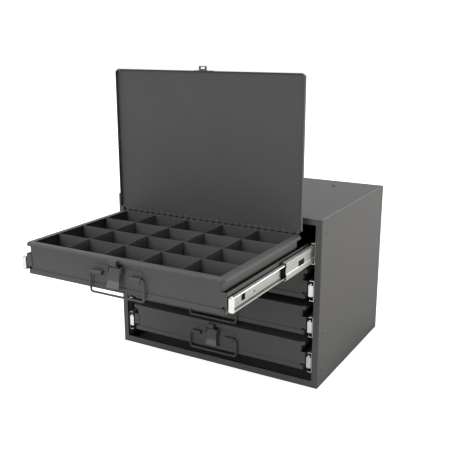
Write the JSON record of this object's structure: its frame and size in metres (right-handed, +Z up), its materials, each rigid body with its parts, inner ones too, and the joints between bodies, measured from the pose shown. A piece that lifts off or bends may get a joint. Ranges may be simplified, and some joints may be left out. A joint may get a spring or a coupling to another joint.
{
  "type": "small parts organizer",
  "caption": "Steel slide cabinet with drawers that carry lidded compartment boxes, each with a piano hinge, a sprung hook latch and a drop bail handle.",
  "frame": {"origin": "middle of the cabinet's underside", "axes": "+Z up, the front and the open drawer towards -Y, +X to the right of someone facing +Y"},
  "size_m": [0.525, 0.7563, 0.6841],
  "materials": {
    "charcoal_paint": "semi-matt powder coat",
    "zinc_steel": "bright zinc plate",
    "black_plastic": "moulded"
  },
  "bodies": {
    "cabinet": {"cabinet_shell": "charcoal_paint", "cabinet_bottom": "charcoal_paint", "cabinet_back": "charcoal_paint", "slide_posts": "charcoal_paint", "slide_outer_left": "zinc_steel", "slide_outer_right": "zinc_steel", "slide_screws": "zinc_steel"},
    "drawer_1": {"carrier_1": "charcoal_paint", "box_1": "charcoal_paint", "dividers_1": "charcoal_paint", "slide_inner_1": "zinc_steel", "hinge_pin_1": "zinc_steel", "latch_plate_1": "charcoal_paint", "latch_spring_1": "zinc_steel", "rivets_1": "charcoal_paint"},
    "middle_1": {"slide_middle_1": "zinc_steel", "ball_cages_1": "black_plastic"},
    "lid_1": {"lid_1": "charcoal_paint"},
    "bail_1": {"bail_1": "charcoal_paint"},
    "latch_1": {"latch_lever_1": "charcoal_paint"},
    "drawer_2": {"carrier_2": "charcoal_paint", "box_2": "charcoal_paint", "dividers_2": "charcoal_paint", "slide_inner_2": "zinc_steel", "hinge_pin_2": "zinc_steel", "latch_plate_2": "charcoal_paint", "latch_spring_2": "zinc_steel", "rivets_2": "charcoal_paint"},
    "middle_2": {"slide_middle_2": "zinc_steel", "ball_cages_2": "black_plastic"},
    "lid_2": {"lid_2": "charcoal_paint"},
    "bail_2": {"bail_2": "charcoal_paint"},
    "latch_2": {"latch_lever_2": "charcoal_paint"},
    "drawer_3": {"carrier_3": "charcoal_paint", "box_3": "charcoal_paint", "dividers_3": "charcoal_paint", "slide_inner_3": "zinc_steel", "hinge_pin_3": "zinc_steel", "latch_plate_3": "charcoal_paint", "latch_spring_3": "zinc_steel", "rivets_3": "charcoal_paint"},
    "middle_3": {"slide_middle_3": "zinc_steel", "ball_cages_3": "black_plastic"},
    "lid_3": {"lid_3": "charcoal_paint"},
    "bail_3": {"bail_3": "charcoal_paint"},
    "latch_3": {"latch_lever_3": "charcoal_paint"},
    "drawer_4": {"carrier_4": "charcoal_paint", "box_4": "charcoal_paint", "dividers_4": "charcoal_paint", "slide_inner_4": "zinc_steel", "hinge_pin_4": "zinc_steel", "latch_plate_4": "charcoal_paint", "latch_spring_4": "zinc_steel", "rivets_4": "charcoal_paint"},
    "middle_4": {"slide_middle_4": "zinc_steel", "ball_cages_4": "black_plastic"},
    "lid_4": {"lid_4": "charcoal_paint"},
    "bail_4": {"bail_4": "charcoal_paint"},
    "latch_4": {"latch_lever_4": "charcoal_paint"}
  },
  "joints": [
    {"name": "drawer_1_slide", "type": "slide", "parent": "cabinet", "child": "drawer_1", "axis": [0, -1, 0], "range_m": [0, 0.341]},
    {"name": "middle_1_slide", "type": "slide", "parent": "cabinet", "child": "middle_1", "axis": [0, -1, 0], "range_m": [0, 0.1705]},
    {"name": "lid_1_hinge", "type": "hinge", "parent": "drawer_1", "child": "lid_1", "pos_m": [0, 0.1183, 0.1061], "axis": [-1, 0, 0], "range_deg": [0, 0.9]},
    {"name": "bail_1_swing", "type": "hinge", "parent": "drawer_1", "child": "bail_1", "pos_m": [0, -0.2022, 0.0707], "axis": [-1, 0, 0], "range_deg": [-4, 170]},
    {"name": "latch_1_pivot", "type": "hinge", "parent": "drawer_1", "child": "latch_1", "pos_m": [0, -0.2037, 0.0827], "axis": [1, 0, 0], "range_deg": [0, 14], "stiffness_Nm_per_rad": 0.15, "springref_deg": -20.05},
    {"name": "drawer_2_slide", "type": "slide", "parent": "cabinet", "child": "drawer_2", "axis": [0, -1, 0], "range_m": [0, 0.341]},
    {"name": "middle_2_slide", "type": "slide", "parent": "cabinet", "child": "middle_2", "axis": [0, -1, 0], "range_m": [0, 0.1705]},
    {"name": "lid_2_hinge", "type": "hinge", "parent": "drawer_2", "child": "lid_2", "pos_m": [0, 0.1183, 0.18865], "axis": [-1, 0, 0], "range_deg": [0, 0.9]},
    {"name": "bail_2_swing", "type": "hinge", "parent": "drawer_2", "child": "bail_2", "pos_m": [0, -0.2022, 0.15325], "axis": [-1, 0, 0], "range_deg": [-4, 170]},
    {"name": "latch_2_pivot", "type": "hinge", "parent": "drawer_2", "child": "latch_2", "pos_m": [0, -0.2037, 0.16525], "axis": [1, 0, 0], "range_deg": [0, 14], "stiffness_Nm_per_rad": 0.15, "springref_deg": -20.05},
    {"name": "drawer_3_slide", "type": "slide", "parent": "cabinet", "child": "drawer_3", "axis": [0, -1, 0], "range_m": [0, 0.341]},
    {"name": "middle_3_slide", "type": "slide", "parent": "cabinet", "child": "middle_3", "axis": [0, -1, 0], "range_m": [0, 0.1705]},
    {"name": "lid_3_hinge", "type": "hinge", "parent": "drawer_3", "child": "lid_3", "pos_m": [0, 0.1183, 0.2712], "axis": [-1, 0, 0], "range_deg": [0, 0.9]},
    {"name": "bail_3_swing", "type": "hinge", "parent": "drawer_3", "child": "bail_3", "pos_m": [0, -0.2022, 0.2358], "axis": [-1, 0, 0], "range_deg": [-4, 170]},
    {"name": "latch_3_pivot", "type": "hinge", "parent": "drawer_3", "child": "latch_3", "pos_m": [0, -0.2037, 0.2478], "axis": [1, 0, 0], "range_deg": [0, 14], "stiffness_Nm_per_rad": 0.15, "springref_deg": -20.05},
    {"name": "drawer_4_slide", "type": "slide", "parent": "cabinet", "child": "drawer_4", "axis": [0, -1, 0], "range_m": [-0.02, 0]},
    {"name": "middle_4_slide", "type": "slide", "parent": "cabinet", "child": "middle_4", "axis": [0, -1, 0], "range_m": [-0.01, 0]},
    {"name": "lid_4_hinge", "type": "hinge", "parent": "drawer_4", "child": "lid_4", "pos_m": [0, -0.2227, 0.35375], "axis": [-1, 0, 0], "range_deg": [-88.2, 0]},
    {"name": "bail_4_swing", "type": "hinge", "parent": "drawer_4", "child": "bail_4", "pos_m": [0, -0.5432, 0.31835], "axis": [-1, 0, 0], "range_deg": [-4, 170]},
    {"name": "latch_4_pivot", "type": "hinge", "parent": "drawer_4", "child": "latch_4", "pos_m": [0, -0.5447, 0.33035], "axis": [1, 0, 0], "range_deg": [0, 20], "stiffness_Nm_per_rad": 0.15, "springref_deg": -20.05}
  ],
  "couplings": [
    {"joint": "middle_1_slide", "follows": "drawer_1_slide", "ratio": 0.5},
    {"joint": "middle_2_slide", "follows": "drawer_2_slide", "ratio": 0.5},
    {"joint": "middle_3_slide", "follows": "drawer_3_slide", "ratio": 0.5},
    {"joint": "middle_4_slide", "follows": "drawer_4_slide", "ratio": 0.5}
  ]
}
